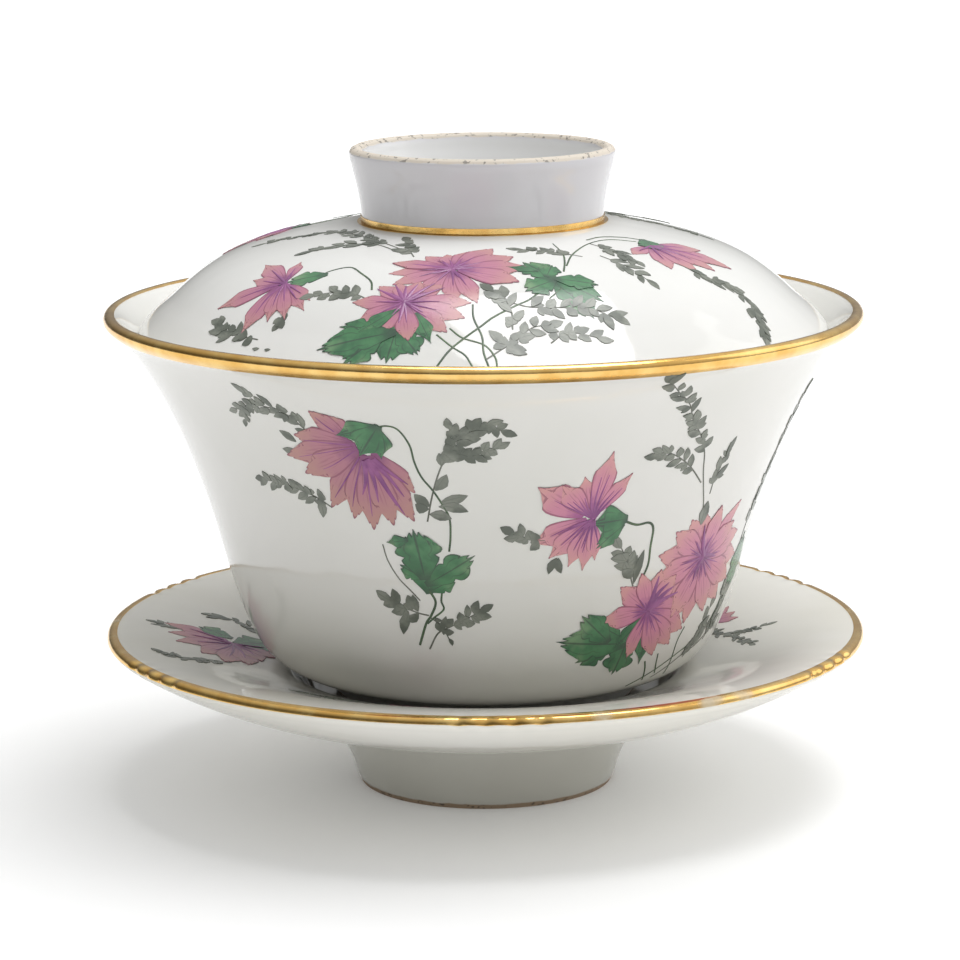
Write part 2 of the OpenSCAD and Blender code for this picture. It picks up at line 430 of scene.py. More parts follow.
# %% Glaze, with a biscuit edge where it is asked for
GLAZE_ROUGHNESS = 0.06
SPECK_CELLS = 110
SPECK_SIZE = 0.02
RAGGED = 0.12 * MM
BROWN_BISCUIT = (0.33, 0.24, 0.16)


def glaze(name, pale, deep, biscuit_from=None, biscuit_to=None, biscuit=BROWN_BISCUIT, chip=0.5 * MM):
    """Glossy porcelain; between two heights the bare biscuit shows, with a ragged edge."""
    material, nodes, links, shader = finish(name, GLAZE_ROUGHNESS)
    where = nodes.new("ShaderNodeTexCoord").outputs["Object"]
    cloud = noise(nodes, links, where, 32, 3)
    colour = mixed(nodes, links, band(nodes, links, cloud, 0.35, 0.7), pale, deep)
    cells = nodes.new("ShaderNodeTexVoronoi")
    cells.inputs["Scale"].default_value = SPECK_CELLS
    links.new(where, cells.inputs["Vector"])
    speck = band(nodes, links, cells.outputs["Distance"], SPECK_SIZE, SPECK_SIZE * 2.4, 0.75, 0.0)
    rare = nodes.new("ShaderNodeSeparateColor")
    links.new(cells.outputs["Color"], rare.inputs["Color"])
    chosen = band(nodes, links, rare.outputs["Red"], 0.955, 0.97)
    speck = arithmetic(nodes, links, "MULTIPLY", speck, chosen)
    colour = mixed(nodes, links, speck, colour, (0.16, 0.12, 0.09))
    if biscuit_from is not None:
        split = nodes.new("ShaderNodeSeparateXYZ")
        links.new(where, split.inputs[0])
        ragged = noise(nodes, links, where, 420, 3)
        height = arithmetic(nodes, links, "MULTIPLY_ADD", ragged, chip)
        height.node.inputs[2].default_value = -chip / 2
        height = arithmetic(nodes, links, "ADD", height, split.outputs["Z"])
        above = band(nodes, links, height, biscuit_from - RAGGED, biscuit_from + RAGGED)
        below = band(nodes, links, height, biscuit_to - RAGGED, biscuit_to + RAGGED, 1.0, 0.0)
        bare = arithmetic(nodes, links, "MULTIPLY", above, below)
        grit = band(nodes, links, noise(nodes, links, where, 1500, 2), 0.58, 0.66)
        stained = mixed(nodes, links, grit, biscuit, tuple(c * 0.42 for c in biscuit))
        colour = mixed(nodes, links, bare, colour, stained)
        rough = arithmetic(nodes, links, "MULTIPLY_ADD", bare, 0.6)
        rough.node.inputs[2].default_value = GLAZE_ROUGHNESS
        links.new(rough, shader.inputs["Roughness"])
    links.new(colour, shader.inputs["Base Color"])
    shader.inputs["IOR"].default_value = 1.52
    bumped(nodes, links, shader, noise(nodes, links, where, 140, 1), 0.1, 0.0005)
    return material


# %% Painted light: a paler glaze inside a ring
def lit_paler_within(material, radius, colour):
    """Painted light: the glaze is paler at less than this distance from the axis, where the ring's inside is
    lit.
    """
    nodes, links = material.node_tree.nodes, material.node_tree.links
    shader = nodes["Principled BSDF"]
    usual = shader.inputs["Base Color"].links[0].from_socket
    level = nodes.new("ShaderNodeVectorMath")
    level.operation = "MULTIPLY"
    level.inputs[1].default_value = (1, 1, 0)
    links.new(nodes.new("ShaderNodeTexCoord").outputs["Object"], level.inputs[0])
    from_axis = nodes.new("ShaderNodeVectorMath")
    from_axis.operation = "LENGTH"
    links.new(level.outputs["Vector"], from_axis.inputs[0])
    inside = band(nodes, links, from_axis.outputs["Value"], radius - 0.0003, radius, 0.8, 0.0)
    links.new(mixed(nodes, links, inside, usual, colour), shader.inputs["Base Color"])


# %% Glaze the porcelain
WARM, WARM_DEEP = (0.80, 0.79, 0.755), (0.765, 0.76, 0.715)
# Painted shade and reflection: the grip ring's outer wall gets a darker grey-lilac glaze for the shade it
# stands in and the surroundings it mirrors.
SHADED_LILAC, SHADED_LILAC_DEEP = (0.70, 0.69, 0.715), (0.66, 0.65, 0.67)
RING_BISCUIT = (0.68, 0.61, 0.52)
RING_INSIDE = 17.5 * MM
BISCUIT_ON_RING, BISCUIT_ON_FOOT = 0.6 * MM, 0.7 * MM
PAST_THE_END = 1 * MM
ring_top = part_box("lid_grip_ring")[1][2]
bowl_glaze = glaze("bowl glaze", WARM, WARM_DEEP)
lid_glaze = glaze("lid glaze", (0.83, 0.825, 0.80), (0.80, 0.795, 0.765))
saucer_glaze = glaze("saucer glaze", (0.88, 0.865, 0.81), (0.84, 0.82, 0.745))
ring_glaze = glaze("grip ring glaze", SHADED_LILAC, SHADED_LILAC_DEEP,
                   ring_top - BISCUIT_ON_RING, ring_top + PAST_THE_END, RING_BISCUIT)
# Painted light: the ring's inside gets a paler glaze where the light falls into it.
lit_paler_within(ring_glaze, RING_INSIDE, (0.86, 0.86, 0.85))
# Painted shade: the saucer's foot gets a darker, greyer glaze for the shade under the saucer.
SHADED_FOOT, SHADED_FOOT_DEEP = (0.59, 0.585, 0.53), (0.55, 0.54, 0.485)
FOOT_CHIP = 0.4 * MM
bowl_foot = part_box("bowl_foot_ring")[0][2]
saucer_foot_glaze = glaze("saucer foot glaze", SHADED_FOOT, SHADED_FOOT_DEEP,
                          -PAST_THE_END, BISCUIT_ON_FOOT, BROWN_BISCUIT, FOOT_CHIP)
bowl_foot_glaze = glaze("bowl foot glaze", WARM, WARM_DEEP,
                        bowl_foot - PAST_THE_END, bowl_foot + BISCUIT_ON_FOOT, BROWN_BISCUIT, FOOT_CHIP)
for node, material in (
    ("bowl_body", bowl_glaze), ("bowl_foot_ring", bowl_foot_glaze), ("lid_dome", lid_glaze),
    ("lid_grip_ring", ring_glaze), ("saucer_dish", saucer_glaze), ("saucer_foot_ring", saucer_foot_glaze),
):
    turned[node].data.materials.append(material)
print("biscuit shows above", round((ring_top - BISCUIT_ON_RING) / MM, 2), "mm on the ring")

# %% [markdown]
# ## Gold
# The gilder brushes liquid gold over the fired glaze, so it has the glaze's gloss, thin streaks from the
# brush, and pinholes. Use rubs it thin until the pale ground shows through, most of all on the outer rims.
# The metal colour, the worn patches and the roughness all come from the same noise.


# %% Gilding
GOLD, BRIGHT_GOLD, WORN_GOLD = (0.80, 0.47, 0.13), (0.93, 0.64, 0.24), (0.66, 0.55, 0.38)


def gilding(name, wear_from, wear_to):
    """Brushed gold; more of it is rubbed off as wear_from comes down."""
    material, nodes, links, shader = finish(name, 0.22, 1.0)
    where = nodes.new("ShaderNodeTexCoord").outputs["Object"]
    streak = noise(nodes, links, where, 260, 4)
    tone = mixed(nodes, links, band(nodes, links, streak, 0.3, 0.7), GOLD, BRIGHT_GOLD)
    rubbed = band(nodes, links, noise(nodes, links, where, 95, 6), wear_from, wear_to)
    links.new(mixed(nodes, links, rubbed, tone, WORN_GOLD), shader.inputs["Base Color"])
    metal = nodes.new("ShaderNodeMapRange")
    metal.inputs["To Min"].default_value = 1.0
    metal.inputs["To Max"].default_value = 0.15
    links.new(rubbed, metal.inputs["Value"])
    links.new(metal.outputs["Result"], shader.inputs["Metallic"])
    gloss = nodes.new("ShaderNodeMapRange")
    gloss.inputs["To Min"].default_value = 0.1
    gloss.inputs["To Max"].default_value = 0.26
    links.new(streak, gloss.inputs["Value"])
    links.new(gloss.outputs["Result"], shader.inputs["Roughness"])
    bumped(nodes, links, shader, streak, 0.25, 0.0002)
    return material


turned["bowl_rim_gilding"].data.materials.append(gilding("lip gold", 0.66, 0.76))
turned["lid_grip_gilding"].data.materials.append(gilding("ring line gold", 0.64, 0.74))
turned["saucer_rim_gilding"].data.materials.append(gilding("saucer rim gold", 0.56, 0.66))
print("gilded:", [n for n in turned if "gilding" in n])

# %% [markdown]
# ## Enamel colours
# The painter's colours are soft glass. A petal runs from a purple heart to a salmon tip, with fine brushed
# streaks along it and a brown line round its edge. There are three pinks: a duller one on the bowl's left
# spray as painted shade, a brighter one on its right spray as painted light, and the plain one elsewhere. A
# leaf has dark veins and a dark edge on green, and is paler where the paint ran out. The little leaves are a
# thin grey-olive wash, uneven in tone. Each shape has its own flat map: x across and y from root to tip, so
# one material can shade every petal.


# %% Petal enamel
def flat_map(nodes, links):
    """The across value, from -1 to 1, and the along value, from 0 to 1, of a painted shape."""
    split = nodes.new("ShaderNodeSeparateXYZ")
    links.new(nodes.new("ShaderNodeUVMap").outputs["UV"], split.inputs[0])
    across = arithmetic(nodes, links, "MULTIPLY_ADD", split.outputs["X"], 2.0)
    across.node.inputs[2].default_value = -1.0
    return across, split.outputs["Y"]


def petal_enamel(name, heart, middle, tip, line):
    """Pink enamel that is shaded along each petal."""
    material, nodes, links, shader = finish(name, 0.2)
    across, along = flat_map(nodes, links)
    where = nodes.new("ShaderNodeTexCoord").outputs["Object"]
    uneven = noise(nodes, links, where, 900, 3)
    shifted = arithmetic(nodes, links, "MULTIPLY_ADD", uneven, 0.3)
    shifted.node.inputs[2].default_value = -0.15
    shifted = arithmetic(nodes, links, "ADD", shifted, along)
    colour = mixed(nodes, links, band(nodes, links, shifted, 0.02, 0.42), heart, middle)
    colour = mixed(nodes, links, band(nodes, links, shifted, 0.4, 1.0), colour, tip)
    uv = nodes.new("ShaderNodeUVMap").outputs["UV"]
    streak = noise(nodes, links, uv, 1.0, 2, (11.0, 1.3, 1.0))
    streak = band(nodes, links, streak, 0.56, 0.66)
    fading = band(nodes, links, along, 0.1, 1.0, 0.75, 0.1)
    colour = mixed(nodes, links, arithmetic(nodes, links, "MULTIPLY", streak, fading), colour, line)
    edge = arithmetic(nodes, links, "ABSOLUTE", across, 0.0)
    side = band(nodes, links, edge, 0.84, 0.93)
    end = band(nodes, links, along, 0.95, 0.985)
    edge = arithmetic(nodes, links, "MAXIMUM", side, end)
    edge = arithmetic(nodes, links, "MULTIPLY", edge, 0.72)
    colour = mixed(nodes, links, edge, colour, line)
    links.new(colour, shader.inputs["Base Color"])
    bumped(nodes, links, shader, uneven, 0.12, 0.0002)
    return material


PETAL_LINE = (0.25, 0.075, 0.13)
petal_pink = petal_enamel("petal enamel", (0.27, 0.075, 0.22), (0.53, 0.215, 0.31), (0.57, 0.29, 0.28),
                          PETAL_LINE)
# Painted shade and light: a duller and a brighter copy of the petal pink, for the bowl's left and right
# sprays.
petal_shaded = petal_enamel("shaded petal enamel", (0.25, 0.075, 0.19), (0.46, 0.195, 0.25),
                           (0.5, 0.265, 0.235), PETAL_LINE)
petal_lit = petal_enamel("lit petal enamel", (0.36, 0.1, 0.27), (0.62, 0.245, 0.35), (0.66, 0.33, 0.32),
                          PETAL_LINE)


# %% Leaf enamel
def leaf_enamel(name, green, deep, thin_paint, line):
    """Green enamel with a midrib, a vein beside it on each side, and paint that runs out near the tips."""
    material, nodes, links, shader = finish(name, 0.2)
    across, along = flat_map(nodes, links)
    where = nodes.new("ShaderNodeTexCoord").outputs["Object"]
    uneven = noise(nodes, links, where, 500, 4)
    colour = mixed(nodes, links, band(nodes, links, uneven, 0.35, 0.65), green, deep)
    away = arithmetic(nodes, links, "ABSOLUTE", across, 0.0)
    patchy = band(nodes, links, noise(nodes, links, where, 210, 2), 0.48, 0.62, 0.0, 0.9)
    outer = band(nodes, links, along, 0.45, 0.85)
    colour = mixed(nodes, links, arithmetic(nodes, links, "MULTIPLY", patchy, outer), colour, thin_paint)
    midrib = band(nodes, links, away, 0.02, 0.09, 0.6, 0.0)
    beside = arithmetic(nodes, links, "ABSOLUTE", arithmetic(nodes, links, "SUBTRACT", away, 0.58), 0.0)
    beside = band(nodes, links, beside, 0.0, 0.07, 0.4, 0.0)
    beside = arithmetic(nodes, links, "MULTIPLY", beside, band(nodes, links, along, 0.3, 0.5))
    dark = arithmetic(nodes, links, "MAXIMUM", midrib, beside)
    for value, low, high, depth in ((away, 0.88, 0.96, 0.55), (along, 0.94, 0.985, 0.65)):
        dark = arithmetic(nodes, links, "MAXIMUM", dark, band(nodes, links, value, low, high, 0.0, depth))
    heart = band(nodes, links, along, 0.0, 0.3, 0.6, 0.0)
    dark = arithmetic(nodes, links, "MAXIMUM", dark, heart)
    links.new(mixed(nodes, links, dark, colour, line), shader.inputs["Base Color"])
    bumped(nodes, links, shader, uneven, 0.2, 0.0002)
    return material


leaf_green = leaf_enamel("leaf enamel", (0.08, 0.235, 0.105), (0.055, 0.165, 0.08), (0.2, 0.34, 0.18),
                         (0.05, 0.045, 0.055))


# %% Grey wash and line colours
def wash(name, pale, deep):
    """A thin wash that pools at the rim of each little leaf."""
    material, nodes, links, shader = finish(name, 0.2)
    across, along = flat_map(nodes, links)
    beside = arithmetic(nodes, links, "MULTIPLY_ADD", along, 2.0)
    beside.node.inputs[2].default_value = -1.0
    squares = [arithmetic(nodes, links, "MULTIPLY", v, v) for v in (across, beside)]
    rim = band(nodes, links, arithmetic(nodes, links, "ADD", *squares), 0.55, 1.0, 0.0, 0.45)
    middle = band(nodes, links, arithmetic(nodes, links, "ABSOLUTE", across, 0.0), 0.04, 0.2, 0.55, 0.0)
    dark = arithmetic(nodes, links, "MAXIMUM", rim, middle)
    where = nodes.new("ShaderNodeTexCoord").outputs["Object"]
    uneven = noise(nodes, links, where, 300, 3)
    dark = arithmetic(nodes, links, "MAXIMUM", dark, band(nodes, links, uneven, 0.4, 0.62))
    links.new(mixed(nodes, links, dark, pale, deep), shader.inputs["Base Color"])
    bumped(nodes, links, shader, uneven, 0.15, 0.0002)
    return material


def brushed_line(name, pale, deep):
    """Paint for a thin line, whose tone wanders between a pale and a deep colour."""
    material, nodes, links, shader = finish(name, 0.22)
    where = nodes.new("ShaderNodeTexCoord").outputs["Object"]
    uneven = noise(nodes, links, where, 350, 3)
    links.new(mixed(nodes, links, band(nodes, links, uneven, 0.35, 0.65), pale, deep),
              shader.inputs["Base Color"])
    return material


grey_wash = wash("little leaf enamel", (0.23, 0.245, 0.205), (0.115, 0.13, 0.105))
stem_line = brushed_line("stem enamel", (0.09, 0.145, 0.07), (0.055, 0.09, 0.055))
twig_line = brushed_line("twig enamel", (0.17, 0.18, 0.15), (0.11, 0.115, 0.09))
purple_line = brushed_line("purple brush enamel", (0.34, 0.11, 0.28), (0.23, 0.065, 0.21))
print("enamels:", [m.name for m in (petal_pink, leaf_green, grey_wash, stem_line, twig_line, purple_line)])

# %% [markdown]
# ## Laying a flat drawing on a round wall
# Flowers like these were put on with a printed outline and then filled by hand: a flat sheet is laid on a
# round wall. The same is done here. Each spray is drawn flat, in millimetres, round its own middle, and
# then rolled on to the wall. A wall is nearly a cone at any place, and a cone unrolls without stretching,
# so the drawing keeps its shape. Every wall is the part of a turned outline that gets painted.


# %% Walls
class Wall:
    """A painted stretch of an outline, which can say what lies at a length along it."""

    def __init__(self, points):
        self.points = points
        self.along = [0.0]
        for a, b in zip(points, points[1:]):
            self.along.append(self.along[-1] + (b - a).length)
        steps = [(b - a).normalized() for a, b in zip(points, points[1:])]
        steps = [steps[0]] + [(a + b).normalized() for a, b in zip(steps, steps[1:])] + [steps[-1]]
        self.out = [Vector((step.y, -step.x)) for step in steps]

    def at(self, length):
        """The (radius, height) point and the outward direction at this length."""
        length = min(max(length, 0.0), self.along[-1])
        low, high = 0, len(self.along) - 1
        while high - low > 1:
            middle = (low + high) // 2
            low, high = (middle, high) if self.along[middle] <= length else (low, middle)
        part = (length - self.along[low]) / (self.along[high] - self.along[low])
        point = self.points[low].lerp(self.points[high], part)
        return point, self.out[low].lerp(self.out[high], part).normalized()

    def where(self, radius):
        """The length along the wall at which it has this radius."""
        for i in range(len(self.points) - 1):
            a, b = self.points[i].x, self.points[i + 1].x
            if min(a, b) <= radius <= max(a, b) and a != b:
                return self.along[i] + (radius - a) / (b - a) * (self.along[i + 1] - self.along[i])
        return self.along[-1]

    def roll(self, flat, azimuth, radius):
        """Rolls a flat mesh in millimetres on to the wall, round the place at this azimuth and radius."""
        start = self.where(radius)
        probe = 1.5 * MM
        spread = (self.at(start + probe)[0].x - self.at(start - probe)[0].x) / (2 * probe)
        apex = radius / spread
        side = math.copysign(1.0, apex)
        for v in flat.vertices:
            u, w = v.co.x * MM, v.co.y * MM
            reach = side * math.hypot(u, apex + w)
            angle = azimuth + math.atan2(u * side, (apex + w) * side) / spread
            point, out = self.at(start + reach - apex)
            point = point + out * v.co.z * MM
            v.co = (point.x * math.sin(angle), -point.x * math.cos(angle), point.y)


# %% Find the three painted walls
def widest(points):
    return max(range(len(points)), key=lambda i: points[i].x)


bowl_outline, lid_outline, saucer_outline = (outlines[n] for n in ("bowl_body", "lid_dome", "saucer_dish"))
saucer_crest = max(range(len(saucer_outline)), key=lambda i: (saucer_outline[i].y, saucer_outline[i].x))
WALLS = {
    "bowl": Wall([p for p in bowl_outline[:widest(bowl_outline)] if p.x > 22 * MM]),
    "lid": Wall([p for p in lid_outline[widest(lid_outline):] if p.x > 5 * MM]),
    "saucer": Wall([p for p in saucer_outline[saucer_crest:] if p.x > 5 * MM]),
}
for name, wall in WALLS.items():
    print(name, "wall is", round(wall.along[-1] / MM, 1), "mm long from", round(wall.points[0].x / MM, 1))

# %% [markdown]
# ## Brush strokes
# There are four kinds of stroke. A petal, a lobe of a leaf and a little leaf are cut from flat sheets: a
# grid for the first two and a ring of twelve points for the third, so that a spray with a hundred little
# leaves stays light. A line is a thin round bar that is pressed flat. Every stroke lies a hair above the
# one below it, as thick enamel does, and each spray's strokes of one colour are joined, given a thickness,
# and rolled on to the wall.

# %% Master sheets
TEETH_ACROSS = 18
PETAL_STEPS = 8
LEAF_STEPS = 14


def sheet(name, across, along):
    """A flat unit square with its own map, from which shapes are cut."""
    bpy.ops.object.select_all(action="DESELECT")
    bpy.ops.mesh.primitive_grid_add(x_subdivisions=across, y_subdivisions=along, size=1, calc_uvs=True)
    made = bpy.context.active_object
    made.name = name
    return made


petal_sheet = sheet("petal_sheet", TEETH_ACROSS, PETAL_STEPS)
leaf_sheet = sheet("leaf_sheet", TEETH_ACROSS, LEAF_STEPS)
bpy.ops.object.select_all(action="DESELECT")
bpy.ops.mesh.primitive_circle_add(vertices=12, radius=0.5, fill_type="NGON", calc_uvs=True)
leaflet_sheet = bpy.context.active_object
leaflet_sheet.name = "leaflet_sheet"
print("sheets:", [len(o.data.vertices) for o in (petal_sheet, leaf_sheet, leaflet_sheet)], "points")

# %% The shapes, as (sideways, forwards) shares of a stroke one unit long
PETAL_WAIST, PETAL_SHOULDER, PETAL_NARROWS, POINTED_NARROWS = 0.24, 0.66, 0.42, 0.8
PETAL_TOOTH, PETAL_ROUNDING = 0.055, 0.27
LEAF_WAIST, LEAF_SHOULDER, LEAF_NARROWS, SEPAL_NARROWS = 0.2, 0.66, 0.5, 0.85
LEAF_TOOTH, LEAF_ROUNDING = 0.15, 0.2
NICK_AT, NICK_LONG, NICK_DEEP = 0.5, 0.09, 0.3


def petal_shape(across, along, width, teeth):
    """A tongue that widens to its shoulder and ends in a few teeth."""
    rise = math.sin(math.pi / 2 * min(1, along / PETAL_SHOULDER))
    half = PETAL_WAIST + (1 - PETAL_WAIST) * rise
    if along > PETAL_SHOULDER:
        over = (along - PETAL_SHOULDER) / (1 - PETAL_SHOULDER)
        half *= 1 - (PETAL_NARROWS if teeth > 1 else POINTED_NARROWS) * over ** 2
    notch = 1 - abs(math.cos(math.pi / 2 * teeth * across)) ** 0.7 if teeth > 1 else 0
    shrink = along ** 4 * (PETAL_TOOTH * notch + PETAL_ROUNDING * across ** 2)
    return across * half * width / 2, along - shrink


def leaf_shape(across, along, width, teeth):
    """One lobe of a leaf: a wedge with a nick in each side, which ends in a few pointed teeth."""
    rise = math.sin(math.pi / 2 * min(1, along / LEAF_SHOULDER)) ** 1.3
    half = LEAF_WAIST + (1 - LEAF_WAIST) * rise
    if along > LEAF_SHOULDER:
        over = (along - LEAF_SHOULDER) / (1 - LEAF_SHOULDER)
        half *= 1 - (LEAF_NARROWS if teeth > 1 else SEPAL_NARROWS) * over ** 2
    if teeth > 1:
        half *= 1 - NICK_DEEP * max(0, 1 - abs(along - NICK_AT) / NICK_LONG)
    place = teeth * across / 2
    bay = 2 * abs(place - round(place))
    shrink = along ** 3 * (LEAF_TOOTH * bay + LEAF_ROUNDING * across ** 2)
    return across * half * width / 2, along - shrink


def leaflet_shape(across, along, width, bend):
    """A small pointed oval, bent a little to one side."""
    pinch = 1 - 0.7 * abs(2 * along - 1) ** 2
    return across * width / 2 * pinch + bend * (along - along ** 2), along


# %% A spray's drawing
LIFT, LAYER, SUNK = 0.045, 0.011, -0.03
ABOVE = {"petals": 0.0, "leaflets": 0.003, "leaves": 0.006}
LINE_FLATNESS = 0.32


class Drawing:
    """The flat strokes of one spray, in millimetres."""

    def __init__(self, seed, petal_paint=petal_pink):
        self.petal_paint = petal_paint
        self.sheets = {"petals": [], "leaves": [], "leaflets": []}
        self.lines = {"stems": [], "twigs": [], "brushwork": []}
        self.layer = 0
        self.chance = random.Random(seed)

    def cut(self, kind, master, shape, root, tip):
        """Cuts one shape from its sheet and lays it from root to tip."""
        self.layer = (self.layer + 1) % 9
        root, tip = Vector(root), Vector(tip)
        forwards = tip - root
        sideways = Vector((forwards.y, -forwards.x)).normalized()
        made = new_object(kind, master.data.copy())
        for v in made.data.vertices:
            x, y = shape(2 * v.co.x, v.co.y + 0.5)
            place = root + forwards * y + sideways * x
            v.co = (place.x, place.y, LIFT + LAYER * self.layer + ABOVE[kind])
        self.sheets[kind].append(made)

    def petal(self, root, tip, width, teeth=3):
        self.cut("petals", petal_sheet, lambda x, y: petal_shape(x, y, width, teeth), root, tip)

    def leaf(self, root, tip, width, teeth=3):
        self.cut("leaves", leaf_sheet, lambda x, y: leaf_shape(x, y, width, teeth), root, tip)

    def leaflet(self, root, tip, width):
        bend = self.chance.uniform(-0.9, 0.9) * width
        self.cut("leaflets", leaflet_sheet, lambda x, y: leaflet_shape(x, y, width, bend), root, tip)

    def lobed(self, *lobes):
        """A deeply cut leaf, as its lobes: (root, tip, width, teeth) of each."""
        for lobe in lobes:
            self.leaf(*lobe)

    def line(self, kind, points, width, thin_end=0.6):
        self.lines[kind].append((flowing(points), width / 2, thin_end))

    def flower(self, centre, petals):
        """An open flower: petals as (direction in degrees, length, width), and a brushed heart."""
        centre = Vector(centre)
        for direction, length, width in petals:
            ray = Vector((math.cos(math.radians(direction)), math.sin(math.radians(direction))))
            self.petal(centre + ray * 0.3, centre + ray * length, width)
        for direction, length, width in petals:
            for lean in (-9, 8):
                angle = math.radians(direction + lean + self.chance.uniform(-3, 3))
                ray = Vector((math.cos(angle), math.sin(angle)))
                far = self.chance.uniform(0.3, 0.55) * length
                self.line("brushwork", [centre, centre + ray * far * 0.5, centre + ray * far], 0.34, 0.12)

    def brushed(self, heart, tips, width):
        """Broad brushed lines from a flower's heart to each tip."""
        for tip in tips:
            self.line("brushwork", [heart, Vector(heart).lerp(Vector(tip), 0.5), tip], width, 0.12)

    def rayed(self, heart, petals, brush, teeth=3):
        """Petals as (root, tip, width), each with a line from the heart: (bend, reach, width, thin end)."""
        bend, reach, brush_width, thin_end = brush
        for root, tip, width in petals:
            self.petal(root, tip, width, teeth)
            root, tip = Vector(root), Vector(tip)
            self.line("brushwork", [heart, root.lerp(tip, bend), root.lerp(tip, reach)], brush_width,
                      thin_end)

    def sprig(self, points, leaf_length=2.4, leaf_width=1.1, gap=1.3, bare=0.2, lean=42, stem=0.24):
        """A thin stem with uneven tufts of little leaves on both sides, and one leaf at its end."""
        way = flowing(points)
        self.line("twigs", points, stem)
        total = sum((b - a).length for a, b in zip(way, way[1:]))
        done, due, side = 0.0, bare * total, 1
        for a, b in zip(way, way[1:]):
            step = b - a
            while done + step.length > due and due < total - 0.3 * gap:
                place = a + step * ((due - done) / step.length)
                size = leaf_length * self.chance.uniform(0.6, 1.15)
                turned_by = side * (lean + self.chance.uniform(-16, 16))
                self.tuft(place, step, turned_by, size, leaf_width * self.chance.uniform(0.8, 1.15))
                side = -side
                due += gap * self.chance.uniform(0.75, 1.45) / 2
            done += step.length
        end = (way[-1] - way[-2]).normalized()
        self.leaflet(way[-1] - end * 0.2, way[-1] + end * leaf_length * 0.9, leaf_width)

    def tuft(self, place, heading, turned_by, size, width):
        """A little leaf, often with a smaller one or two grown out of its side."""
        spread = [(0, 1.0)] + [(s, 0.62) for s in (-38, 38) if self.chance.random() < 0.45]
        for angle, share in spread:
            ray = Vector((heading.x, heading.y)).normalized()
            ray.rotate(Matrix.Rotation(math.radians(turned_by + angle), 2))
            self.leaflet(place, place + ray * size * share, width * (0.55 + 0.45 * share))


# %% A flowing line through a few points
FLOW_STEPS = 7


def flowing(points):
    """A smooth line through given points."""
    points = [Vector(p) for p in points]
    ends = [2 * points[0] - points[1]] + points + [2 * points[-1] - points[-2]]
    line = []
    for a, b, c, d in zip(ends, ends[1:], ends[2:], ends[3:]):
        for i in range(FLOW_STEPS):
            t = i / FLOW_STEPS
            line.append(0.5 * (2 * b + (c - a) * t + (2 * a - 5 * b + 4 * c - d) * t ** 2
                               + (3 * b - a - 3 * c + d) * t ** 3))
    return line + [points[-1]]


# %% Fire a drawing on to a wall
ENAMEL = {
    "petals": (petal_pink, "pink_enamel"), "leaves": (leaf_green, "green_enamel"),
    "leaflets": (grey_wash, "grey_enamel"), "stems": (stem_line, "green_enamel"),
    "twigs": (twig_line, "grey_enamel"), "brushwork": (purple_line, "pink_enamel"),
}
WELD = 0.002
LINE_LIFT = 0.11


def thick_sheets(sheets):
    """Joins flat shapes of one colour and gives them a thickness that reaches into the glaze."""
    pick(*sheets)
    bpy.ops.object.join()
    joined = bpy.context.active_object
    bpy.ops.object.mode_set(mode="EDIT")
    bpy.ops.mesh.select_all(action="SELECT")
    bpy.ops.mesh.remove_doubles(threshold=WELD)
    bpy.ops.mesh.select_all(action="SELECT")
    bpy.ops.mesh.extrude_region_move()
    bpy.ops.object.mode_set(mode="OBJECT")
    for v in joined.data.vertices:
        if v.select:
            v.co.z = SUNK
    return joined


def thick_lines(kind, lines):
    """Draws lines as thin bars with closed ends, and presses them flat."""
    curve = bpy.data.curves.new(kind, "CURVE")
    curve.dimensions = "3D"
    curve.bevel_depth = 1.0
    curve.bevel_resolution = 1
    curve.use_fill_caps = True
    for way, half, thin_end in lines:
        spline = curve.splines.new("POLY")
        spline.points.add(len(way) - 1)
        for i, (point, place) in enumerate(zip(spline.points, way)):
            part = i / (len(way) - 1)
            point.co = (place.x, place.y, 0, 1)
            point.radius = half * (1 - (1 - thin_end) * part ** 2)
    bar = new_object(kind, curve)
    pick(bar)
    bpy.ops.object.convert(target="MESH")
    bar = bpy.context.active_object
    for v in bar.data.vertices:
        v.co.z = v.co.z * LINE_FLATNESS + (LINE_LIFT if kind == "brushwork" else LIFT / 2)
    return bar


def flat_pieces(drawing):
    """One flat, thick object for each colour of a drawing."""
    pieces = {kind: thick_sheets(sheets) for kind, sheets in drawing.sheets.items() if sheets}
    pieces.update({kind: thick_lines(kind, lines) for kind, lines in drawing.lines.items() if lines})
    for kind, piece in pieces.items():
        pick(piece)
        bpy.ops.object.mode_set(mode="EDIT")
        bpy.ops.mesh.select_all(action="SELECT")
        bpy.ops.mesh.normals_make_consistent(inside=False)
        bpy.ops.object.mode_set(mode="OBJECT")
        piece.data.materials.clear()
        piece.data.materials.append(drawing.petal_paint if kind == "petals" else ENAMEL[kind][0])
    return pieces


def fire(pieces, name, body, azimuth, radius):
    """Copies a flat spray on to a body's wall, round an azimuth in degrees and a radius in millimetres."""
    faces = 0
    for kind, flat in pieces.items():
        piece = new_object(name + "_" + kind, flat.data.copy())
        WALLS[body].roll(piece.data, math.radians(azimuth), radius * MM)
        pick(piece)
        bpy.ops.object.shade_smooth_by_angle(angle=SMOOTH_BELOW)
        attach(piece, body)
        faces += len(piece.data.polygons)
    print(name, "has", faces, "faces in", len(pieces), "colours")
